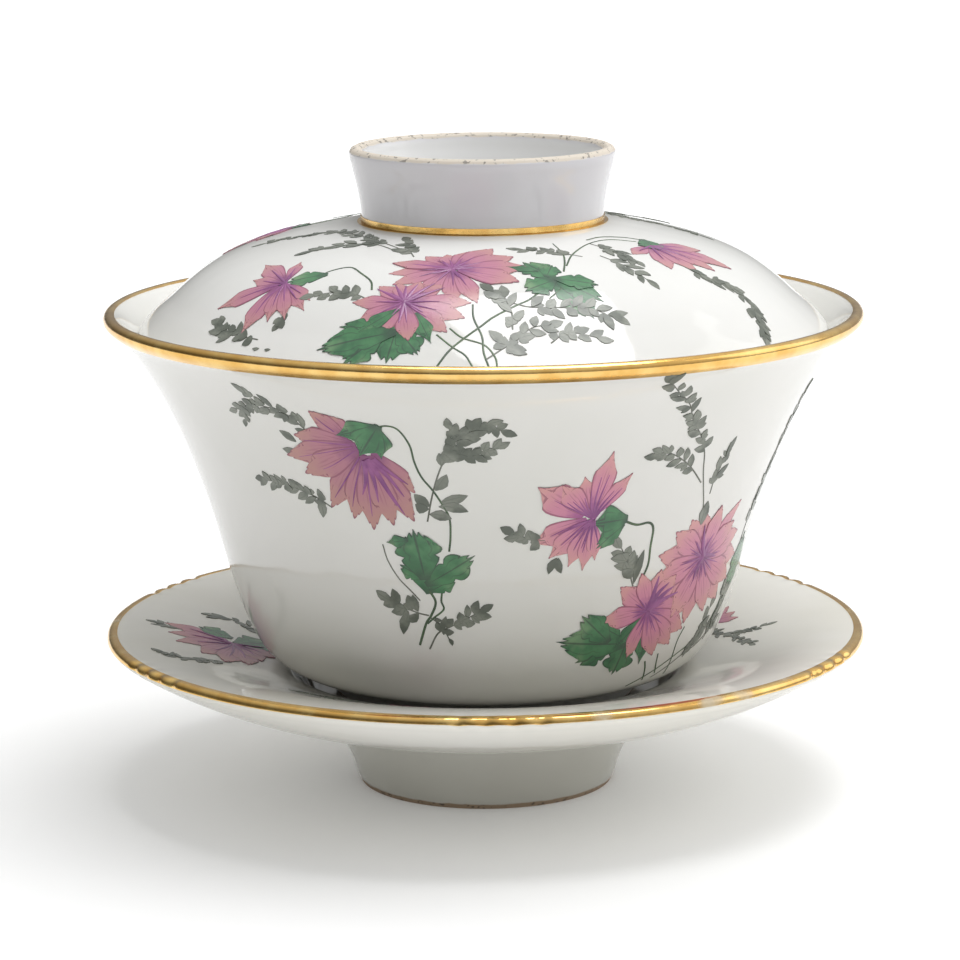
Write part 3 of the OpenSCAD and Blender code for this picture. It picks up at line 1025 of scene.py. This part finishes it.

# %% [markdown]
# ## The bowl's left spray
# A heavy flower hangs its head on a thin curved stem, seen from the side under its green cup. A dense grey
# sprig climbs beside the stem, a deeply cut leaf lies below it, and two more sprigs reach out from behind
# the flower. All places are millimetres to the right of and above the middle of the spray.

# %% Bowl, left spray
# Painted shade: this spray's petals take the duller pink.
hanging = Drawing(3, petal_shaded)
hanging.sprig([(-11.5, 9), (-14, 11.5), (-16, 12.8), (-19, 13), (-21, 14.6)], 2.6, 1.2, 1.5, 0.1)
hanging.sprig([(-18.5, 13), (-21.5, 12), (-24, 10.6)], 2.0, 1.1, 1.4, 0.2)
hanging.sprig([(-22, 11.8), (-22.8, 9)], 1.6, 0.9, 1.3, 0.3)
hanging.leaflet((-14.5, 7.5), (-17, 8.9), 1.4)
hanging.leaflet((-14.5, 5), (-17.2, 5.7), 1.4)
hanging.sprig([(-10.5, -2.6), (-13, -1.4), (-16, -0.8), (-19, -0.6), (-22, -1.2)], 2.2, 1.2, 1.4, 0.1)
hanging.leaflet((-12.4, -1.4), (-12.2, -4.6), 1.5)
for root, tip, width in (
    ((-6, 10.2), (-8.2, 13.4), 2.8), ((-6.2, 9.6), (-11.2, 13.8), 3.2), ((-5.6, 8.8), (-14.6, 8.8), 4.2),
    ((-5.2, 8.6), (-16.6, 4.8), 4.2), ((-5, 8), (-14, 2.4), 4.6), ((-4.8, 7.6), (-10.6, -2.6), 4.0),
    ((-3, 7.6), (2.2, 1.2), 3.4), ((-4.4, 7.2), (-7.2, -3.8), 4.2), ((-3.4, 7), (1.6, -3.4), 4.0),
    ((-4.2, 7), (-4.4, -5.2), 4.2), ((-3.8, 7), (-1.4, -4.2), 4.2),
):
    hanging.petal(root, tip, width)
for points in (
    [(-3.8, 6.6), (-2.4, 3), (-0.6, -1)], [(-3.4, 6.4), (-1.2, 3.6), (0.6, 0.6)],
    [(-4, 6.4), (-3.4, 3), (-3.2, -0.6)], [(-3, 6.6), (-0.8, 4.4), (1.4, 2.6)],
    [(-3.6, 6.4), (-1.8, 2), (0.4, -2.4)], [(-4.4, 6.2), (-4.6, 3), (-5.4, 0.4)],
):
    hanging.line("brushwork", points, 0.75, 0.15)
for points in (
    [(-6, 8.6), (-10, 8.4), (-13.4, 8.2)], [(-5.8, 8.2), (-10.4, 6.6), (-14.6, 5)],
    [(-5.6, 7.6), (-9.4, 4.6), (-12.4, 3)], [(-8, 10.6), (-9.4, 11.8), (-10.4, 12.8)],
    [(-4.8, 6), (-6.4, 1.4), (-7.2, -1.8)], [(-5, 6.6), (-8, 2), (-9.8, -0.8)],
    [(-4.2, 5), (-4.4, 0), (-4.4, -3)],
):
    hanging.line("brushwork", points, 0.24, 0.3)
hanging.leaf((-1.4, 12.2), (-8, 10), 4.0, 1)
hanging.leaf((-1.8, 12.2), (-1.8, 6.6), 3.8, 1)
hanging.leaf((-1.4, 12.4), (-5, 6.8), 5.4, 1)
hanging.line("stems", [(-1.8, 12), (-0.3, 12.4), (1.2, 11.8), (2.4, 9.2), (2.7, 6.3), (3.4, 3.8),
                       (4.7, 1.6), (5.8, -0.8), (6.5, -3), (6.3, -6), (5.9, -8.2)], 0.29, 1)
hanging.sprig([(3.4, -3.4), (4.4, 0.4), (5.6, 3.9), (6.9, 6.6), (8.8, 9), (10.8, 11.4), (12.8, 12.2),
               (15, 11)], 2.6, 1.35, 1.15, 0.44)
hanging.sprig([(7.6, 7), (9, 7), (11, 7.2), (14, 8.2)], 2.3, 1.2, 1.2, 0.2)
hanging.sprig([(8, 8.4), (8.6, 10.6), (8.4, 12)], 2.2, 1.2, 1.2, 0.2)
for root, tip in (((5, 1.6), (6.9, 4.2)), ((5.4, -0.4), (9.4, 0.6)), ((5.2, -1), (9.2, -2)),
                  ((4, -1), (2, 1)), ((3.8, -2.2), (6.8, -3)), ((3.8, -1.4), (2, -0.6))):
    hanging.leaflet(root, tip, 1.7)
hanging.lobed(((2.2, -12.4), (-1.2, -10.4), 3.0, 3), ((2.2, -12.6), (1.2, -4.6), 6.8, 5),
              ((0.4, -6.4), (-2.8, -7), 2.0, 1))
hanging.lobed(((2.6, -14.8), (1.8, -8.6), 4.8, 3), ((2.6, -14.4), (6.4, -12.4), 3.0, 3),
              ((2.2, -13.4), (9.4, -9), 4.4, 4))
hanging.line("stems", [(2.6, -14.3), (3.3, -16.1), (2.5, -18.2), (1.7, -19.5), (0.5, -23)], 0.34, 1)
hanging.line("stems", [(4.6, -13.3), (4.1, -15.8), (4.3, -17.2), (2.9, -18.5), (1.9, -19.5)], 0.27, 1)
hanging.line("twigs", [(-3.4, -7.4), (-2.9, -9.9), (-1.6, -12.5), (0, -14.4), (1.2, -15.9)], 0.19, 1)
hanging.sprig([(2.2, -18.2), (0.6, -17.8), (-1.6, -16.8), (-3, -16)], 2.6, 1.5, 1.5, 0.25)
hanging.leaflet((-0.6, -17.6), (-1.6, -21.4), 1.5)
hanging.leaflet((0.8, -17.6), (0.2, -15), 1.4)
hanging.sprig([(2.2, -18.4), (3.8, -19.8), (4.6, -22)], 1.2, 0.6, 4)
hanging.sprig([(1.8, -23.6), (3.2, -21), (5.3, -19.8), (7.2, -18.8), (9.2, -17.8)], 2.3, 1.2, 1.3, 0.35)

# %% [markdown]
# ## The bowl's right spray
# Two open flowers overlap low down, a third looks away to the left from its own green cup, and a tall sprig
# with a dark bud rises almost to the lip. Thin stems cross below the flowers and run down under the bowl.

# %% Bowl, right spray
# Painted light: this spray's petals take the brighter pink.
cluster = Drawing(5, petal_lit)
cluster.line("stems", [(-5.6, 6.5), (-3.6, 5.8), (-1.6, 5.9), (-0.6, 4.8), (-0.4, 1.9), (-0.2, -0.9),
                       (-1, -3.4)], 0.37, 1)
cluster.sprig([(8.8, 3.8), (8.3, 7), (7.4, 9.6), (6.2, 12.9), (5.1, 16.4), (3.3, 19.4), (0.8, 22.4),
               (-1, 25.5), (-4, 28.4), (-6, 30.6)], 2.4, 1.2, 1.7, 0.42)
cluster.sprig([(6.4, 11), (4.3, 13.2), (2.3, 15), (-1, 17), (-3.2, 17)], 2.4, 1.2, 1.5, 0.3)
cluster.sprig([(9.1, 8.6), (9.2, 10.6), (9.8, 13), (10.4, 15)], 3.0, 1.0, 2.0, 0.25, 24)
cluster.leaflet((-5.4, 30.2), (-7.4, 31.8), 2.2)
cluster.leaflet((-5.8, 30.6), (-6.8, 32.4), 1.4)
cluster.leaflet((8.8, 3.6), (9.2, 7.4), 2.0)
cluster.sprig([(-17, 3.6), (-19, 3.6), (-21.5, 4.4)], 2.4, 1.4, 1.3, 0.2)
cluster.leaflet((-14.8, 1), (-15.6, -1.6), 1.2)
cluster.leaflet((-14.6, 1), (-13.8, -1.4), 1.2)
cluster.sprig([(-2.2, -4), (-3.4, -1.2), (-4.4, 0.8), (-5.4, 2.4)], 2.6, 1.5, 1.6, 0.2)
cluster.leaflet((-2.2, -3.6), (-1.4, 1.6), 1.3)
for root, tip, width in (
    ((-11, 8), (-10.2, 18.2), 3.4), ((-10.6, 8), (-6.4, 14.4), 2.4), ((-12.2, 7.8), (-19.6, 12), 5.2),
    ((-11.8, 8), (-16.4, 12.6), 3.6), ((-11.4, 8), (-13.4, 14), 3.4), ((-11.6, 7), (-18.8, 2.8), 3.8),
    ((-11.4, 6.6), (-16, 0.8), 3.6), ((-11, 6.6), (-13, -0.4), 3.0), ((-10.8, 6.6), (-10.8, -1), 2.6),
    ((-10.6, 6.6), (-9.2, 0.6), 2.4),
):
    cluster.petal(root, tip, width, 1)
    far = Vector(root).lerp(Vector(tip), 0.6)
    for lean in (-0.5, 0.6):
        cluster.line("brushwork", [(-10.6, 7.2), Vector(root).lerp(Vector(tip), 0.2) + Vector((lean / 2, 0)),
                                   far + Vector((lean, 0.3 * lean))], 0.36, 0.2)
cluster.leaf((-5.8, 6.2), (-9.4, 2.4), 2.8, 3)
cluster.leaf((-5.4, 7), (-10.8, 6.4), 5.4, 1)
cluster.flower((11, -2), [
    (75, 8, 3.6), (99, 7.2, 3.6), (42, 10.4, 2.6), (142, 9, 4.2), (190, 9.6, 4.6), (240, 9.8, 4.6),
    (-72, 10.2, 4.2), (-35, 11, 4.6), (9, 9.4, 4.6), (28, 8, 3.6), (122, 8.2, 4.2), (167, 9.8, 4.6),
    (212, 9.4, 4.6), (262, 10.4, 4.2), (-53, 11, 4.6), (-15, 10.8, 4.6),
])
cluster.flower((1.2, -8.3), [
    (78, 6.4, 3.2), (48, 6.6, 3.6), (110, 6.6, 2.8), (20, 7.4, 4.0), (141, 7, 3.4), (-8, 8.2, 4.2),
    (186, 7.6, 3.6), (-30, 9.6, 4.2), (-104, 7.6, 3.2), (-48, 9.2, 3.8), (-69, 8.6, 3.6),
])
for points in (
    [(1.2, -8.2), (2.6, -5.8), (4.4, -4.4)], [(1.2, -8.2), (1.8, -5.4), (2.2, -3)],
    [(1.4, -8.2), (3.8, -7), (6.6, -6.4)], [(1.4, -8.2), (3.6, -6.2), (5.6, -5.2)],
    [(11, -2), (10.4, 0.4), (9.8, 3.4)], [(11, -2), (11.4, -0.4), (12.6, 1.4)],
    [(11, -2), (12.6, -2.2), (14.4, -2.8)], [(11, -2), (10, -3.6), (9.6, -5.4)],
):
    cluster.line("brushwork", points, 1.0, 0.15)
cluster.lobed(((-4.4, -12.6), (-9.6, -8), 4.6, 3), ((-2.6, -12.8), (-5.8, -9.6), 3.0, 3),
              ((-3.6, -13), (-9, -15.8), 4.4, 3), ((-1.4, -12.6), (-2.2, -18.6), 5.4, 4),
              ((-1, -13.2), (-12.6, -12.2), 6.0, 5), ((0.6, -9.2), (-3.4, -13.8), 2.6, 1))
cluster.leaf((1.6, -11), (2.2, -17.4), 2.6, 1)
cluster.line("stems", [(3.4, -17.2), (4.2, -19), (5.2, -21.6)], 0.29, 1)
cluster.line("stems", [(5.7, -16.4), (6.2, -18.4), (7.2, -20.6)], 0.26, 1)
cluster.line("stems", [(10.2, -13), (9.4, -15), (9.5, -17.4), (10.4, -22)], 0.26, 1)
cluster.line("stems", [(2.4, -22.4), (4.8, -20.8), (10.2, -18), (16, -16), (19.4, -12.6), (21.4, -7)], 0.27,
             1)
cluster.line("twigs", [(7, -21.6), (12, -18.8), (17, -17.6), (21.8, -13), (24, -7)], 0.24, 1)
cluster.sprig([(13, -19.4), (15.4, -15.6), (16.6, -11.8)], 3.0, 1.5, 2.0, 0.1, 30)
cluster.sprig([(18, -18), (20, -14), (21, -9.6)], 3.2, 1.3, 2.0, 0.1, 26)
cluster.leaf((21.4, -12.4), (25, -2.6), 5.4, 3)
cluster.sprig([(22.6, -6), (24.2, -1), (27, 5), (30, 11)], 3.4, 1.1, 2.4, 0.3, 18)
cluster.sprig([(29, 9), (31, 14), (31.6, 18.4)], 2.6, 1.5, 1.5, 0.1)

# %% [markdown]
# ## The lid's sprays
# The lid carries three groups that touch: a flower seen from the side on the left, two open flowers over
# two deeply cut leaves in the middle, and a flower at the far right with a long arched sprig. Here "above"
# means towards the grip ring.

# %% Lid, left spray
looking = Drawing(7)
looking.sprig([(9.7, 15), (3, 16.9), (-6, 19.3), (-12, 19.8), (-15, 17.6), (-20.6, 14.6)], 2.8, 1.0, 2.2,
              0.2, 26)
looking.sprig([(8, 14.5), (2.6, 15.9), (-1, 15.3), (-4, 13.4), (-6, 11)], 3.0, 1.1, 2.2, 0.35, 22)
looking.line("stems", [(2.3, 4), (3.2, 5.8), (5.2, 7.4), (8.1, 6.4), (11, 5.1), (12.6, 3.4)], 0.29, 1)
looking.sprig([(13.6, 1.4), (10.6, 1.7), (7.1, 0.8), (5, -0.4)], 2.4, 1.4, 1.7, 0.15)
looking.sprig([(1.4, -9.6), (-2.4, -9.4), (-6, -8.6), (-8.6, -7.6)], 2.6, 1.4, 1.7, 0.1)
looking.sprig([(2.8, -4.6), (2.8, -6.4)], 1.6, 1.2, 1.2, 0.1)
looking.rayed((-1.8, 1.2), (
    ((-2.6, 1.6), (-10.4, 5.6), 3.4), ((-2.8, 1), (-8.8, 1.4), 2.4), ((-2.2, 2), (-4.2, 7), 2.2),
    ((-2.8, 0.6), (-11.2, -4.6), 3.6), ((-2.4, 0.4), (-2.4, -9), 3.6), ((-1.8, 0.4), (0.8, -6.4), 2.8),
    ((-1.4, 0.6), (3.6, -5.6), 2.4), ((-1.2, 0.8), (5.6, -3.4), 2.4), ((-1.2, 1), (5.2, -1.4), 2.2),
), (0.25, 0.6, 0.4, 0.2), 1)
looking.leaf((3.4, 4.6), (-1.8, 1.4), 4.0, 3)
looking.leaflet((1.6, -11.2), (2.8, -11), 0.6)
looking.leaflet((3.8, -11), (4.8, -10.8), 0.5)

# %% Lid, middle spray
pair = Drawing(11)
pair.sprig([(-6.7, 12.6), (-8, 16), (-9.4, 20)], 2.6, 1.5, 2.0, 0.2)
pair.sprig([(17.4, 15.6), (13, 16.3), (8.6, 16.5)], 2.6, 1.2, 1.8, 0.2)
pair.sprig([(18.6, 22), (21.5, 20), (24.5, 17.2)], 2.8, 1.2, 1.8, 0.2, 30)
pair.sprig([(19.9, 16.9), (23.5, 14.4), (26.6, 11.6)], 2.8, 1.2, 1.8, 0.2, 30)
pair.sprig([(9, -5), (8.6, -2), (7.4, 0.6), (5.6, 2.2)], 2.8, 1.5, 1.9, 0.1)
pair.sprig([(8.4, 0), (11, -0.4), (15, 0.4), (19, 1.4), (22.4, 0.8)], 2.8, 1.4, 1.6, 0.2)
pair.sprig([(6, -10.6), (9.4, -7), (11.4, -4.4), (13.6, -3.2)], 2.6, 1.5, 1.9, 0.25)
pair.sprig([(14.4, -6.4), (16.4, -4), (20.6, -3.6)], 2.6, 1.3, 1.7, 0.1)
pair.leaflet((8.2, -7.8), (5.8, -5.6), 1.5)
pair.leaflet((8.4, -8), (11.4, -9), 1.5)
pair.rayed((-0.6, 8), (
    ((-1.4, 8.4), (-9.4, 10.4), 3.0), ((-1.4, 8), (-9.4, 7), 3.0), ((-1.4, 7.6), (-8.4, 3.8), 3.2),
    ((-1, 8.8), (-5, 12.6), 3.0), ((-0.6, 8.8), (-2, 13.2), 3.0), ((-0.4, 8.8), (1.4, 14.6), 3.6),
    ((0, 8.6), (4.4, 16), 4.4), ((0.2, 8.4), (7.6, 13), 5.0), ((0.4, 8), (9.8, 9.4), 5.0),
    ((0.4, 7.6), (9, 5), 4.6), ((-0.8, 7.4), (-3.8, 1), 3.4), ((-0.4, 7.2), (0.6, -0.8), 3.2),
    ((0, 7.2), (3.8, -0.6), 3.0),
), (0.2, 0.5, 0.4, 0.15))
pair.rayed((-6.2, -0.4), (
    ((-6.8, -0.4), (-13.6, 0.6), 2.8), ((-6.8, -0.8), (-12.6, -4), 3.4), ((-6.6, -1.2), (-9.6, -6), 3.0),
    ((-6.4, 0), (-10.2, 3.6), 2.6), ((-6.2, 0), (-7.6, 4), 2.4), ((-6, 0), (-4.4, 4.2), 2.6),
    ((-5.8, 0), (-1, 3.4), 2.8), ((-5.6, -0.4), (3, -0.6), 3.4), ((-5.6, -0.8), (2.4, -3.6), 3.6),
    ((-5.8, -1), (0.2, -6.2), 3.6), ((-6, -1.2), (-5, -7.6), 3.4),
), (0.2, 0.5, 0.4, 0.15))
pair.brushed((-6.2, -0.4), ((-10.4, 3), (-8, 3.8), (-6.4, 3.4), (-4.6, 4), (-2.4, 3.8), (-1, 2.6),
                            (-6.6, -4.4), (-3.4, -2.6)), 0.7)
pair.brushed((-0.6, 8), ((-7, 9.8), (-4.6, 9), (-2.4, 10.8), (0.4, 10.6), (-3, 6.4), (0.6, 5.4),
                         (2.6, 8.6)), 0.6)
pair.lobed(((-8.4, -5.4), (-15, -3.8), 3.4, 3), ((-8.6, -6.2), (-14, -10.8), 4.8, 3),
           ((-6.8, -6), (-18, -7.4), 5.6, 5), ((-6.8, -1.8), (-12.2, -5.4), 2.6, 1))
pair.lobed(((-6.8, -5), (-7.8, -11.4), 4.8, 3), ((-6.6, -5.4), (-3.4, -10.2), 4.2, 4),
           ((-6.8, -2.2), (-6.8, -7.4), 2.4, 1))
pair.leaf((-4.4, -2.6), (-1.8, -8.2), 2.6, 1)
pair.line("stems", [(-1.2, -6.6), (1.2, -8.8), (3, -10.1), (4.2, -12)], 0.27, 1)
pair.line("stems", [(0.5, -5.5), (2.4, -7.1), (5.4, -8.1), (7.1, -10.1), (7.6, -12)], 0.27, 1)
pair.line("stems", [(3.2, -0.9), (3.6, -3.6), (5, -6.7), (5.5, -9.5), (6.5, -12)], 0.29, 1)
pair.line("stems", [(-0.7, -12.2), (1.2, -8.8), (4.6, -5), (6.2, -3.1), (9.2, -0.3), (11, 1.5), (13.6, 6)],
          0.31, 1)
pair.line("stems", [(15.3, 7.4), (14.8, 4.6), (13.4, 1.9)], 0.29, 0.6)
pair.line("stems", [(14.9, 9.4), (14.9, 13), (14.5, 16.2), (13.1, 20.2)], 0.29, 0.7)
pair.line("stems", [(15.2, 11.4), (16, 16.2), (18.4, 22), (21.6, 25.6), (25.6, 26.6)], 0.27, 0.8)
pair.lobed(((13.8, 6.6), (9, 11.2), 5.2, 3), ((12.6, 7), (13.2, 11), 3.4, 3),
           ((13.8, 6.4), (10, 2.8), 4.8, 3), ((11.4, 8.4), (6.8, 9.2), 1.8, 1))
pair.lobed(((13.6, 6.8), (19.8, 7), 4.0, 3), ((13.6, 6.2), (19.8, -0.4), 5.2, 3),
           ((13.6, 6.6), (20.8, 3.4), 4.4, 3))

# %% Lid, right spray
arched = Drawing(13)
arched.rayed((1.8, 6.6), (
    ((1.4, 6.6), (-4.2, 5.4), 2.6), ((1.4, 6.4), (-2.8, -0.6), 3.4), ((1.8, 6.2), (1, -2.4), 3.6),
    ((2.2, 6.2), (5, -2.8), 3.8), ((2.6, 6.4), (9.6, -2.6), 3.8), ((2.8, 6.6), (9.6, 3.2), 3.6),
), (0.3, 0.6, 0.5, 0.2))
arched.leaf((3.4, 9.4), (1.4, 4.8), 4.4, 3)
arched.line("stems", [(-5, 13), (-1.6, 13), (1.6, 11.4), (3.4, 9.4)], 0.27, 1)
arched.sprig([(0, 0.3), (0.8, -3), (3, -5.3), (4.8, -7.8), (5, -10.8), (3.6, -13.8), (1.8, -16.4)], 3.0,
             1.1, 1.7, 0.1, 18)
arched.leaflet((4.6, -11), (2.6, -12.6), 1.6)

# %% [markdown]
# ## The saucer's sprays
# The saucer's flowers lie on its broad rim, half under the bowl's shadow, and are brushed more loosely.
# Here "above" means towards the middle of the saucer.

# %% Saucer sprays
lying = Drawing(17)
lying.rayed((-0.8, 0.4), (
    ((-1.6, -0.6), (-3, -10.4), 4.0), ((-1, -0.6), (2, -9.4), 4.0), ((-0.4, 0), (6.6, -7.8), 4.2),
    ((0, 0.6), (10.6, -3.6), 4.4), ((0.2, 1), (12.6, 0), 4.4), ((0, 1.6), (9.8, 3.4), 4.2),
    ((-0.6, 2), (4.8, 5.2), 3.8), ((-1, 2.2), (0.6, 7), 3.8), ((-1.6, 2), (-4.6, 7), 3.6),
), (0.3, 0.6, 0.5, 0.2))
lying.leaf((-1.4, 0.6), (-7, 6), 6.4, 3)
lying.leaf((-3.6, 0), (-5, -5.4), 5.4, 3)
lying.sprig([(-8, 5), (-11.4, 2.4), (-12.6, -0.4), (-12.2, -3.4)], 2.6, 1.1, 1.6, 0.2, 30)
lying.sprig([(-1, -8), (-2.2, -11.2)], 2.4, 0.9, 1.4, 0.1, 30)
lying.sprig([(12, 1), (15.6, -2.4), (18.4, -5.6), (16, -9)], 2.6, 1.0, 1.6, 0.15, 34)

bud = Drawing(19)
bud.petal((9, 2.6), (12, -1.4), 2.2)
bud.petal((8, 2.4), (9, -1.6), 2.4)
bud.petal((7.4, 2.4), (6.2, -1.4), 2.0)
bud.leaf((8, 4), (7.8, 1), 2.6, 3)
bud.sprig([(6, 5), (3.4, 3.4), (0, 1.8), (-1.6, -1.6), (-1.8, -3.6)], 2.2, 0.9, 1.6, 0.2, 30)
bud.sprig([(0.4, 2), (-4, 1.2), (-9, 0.4)], 2.2, 0.9, 1.8, 0.2, 24)

# %% [markdown]
# ## Laying the sprays on the pieces
# Each drawing is made solid once, then copied to the front and, because the same outlines were used all the
# way round, to the back. The flat originals are thrown away.

# %% Fire the sprays
FIRED = (
    (hanging, "bowl", (("bowl_left_spray", -15.3, 43.3), ("bowl_back_right_spray", 128, 43.3))),
    (cluster, "bowl", (("bowl_right_spray", 35.4, 39.7), ("bowl_back_left_spray", 186, 39.7))),
    (looking, "lid", (("lid_left_spray", -42.9, 39.3), ("lid_back_right_spray", 132, 39.3))),
    (pair, "lid", (("lid_middle_spray", -6.6, 39.3), ("lid_back_spray", 176, 39.3))),
    (arched, "lid", (("lid_right_spray", 51.9, 35), ("lid_back_left_spray", 250, 35))),
    (lying, "saucer", (("saucer_left_spray", -90.6, 38), ("saucer_back_spray", 160, 38))),
    (bud, "saucer", (("saucer_right_spray", 99.6, 38.8), ("saucer_front_sprig", -28, 38.8))),
)
for drawing, body, places in FIRED:
    flat = flat_pieces(drawing)
    for name, azimuth, radius in places:
        fire(flat, name, body, azimuth, radius)
    for piece in flat.values():
        bpy.data.objects.remove(piece)
for master in (petal_sheet, leaf_sheet, leaflet_sheet):
    bpy.data.objects.remove(master)
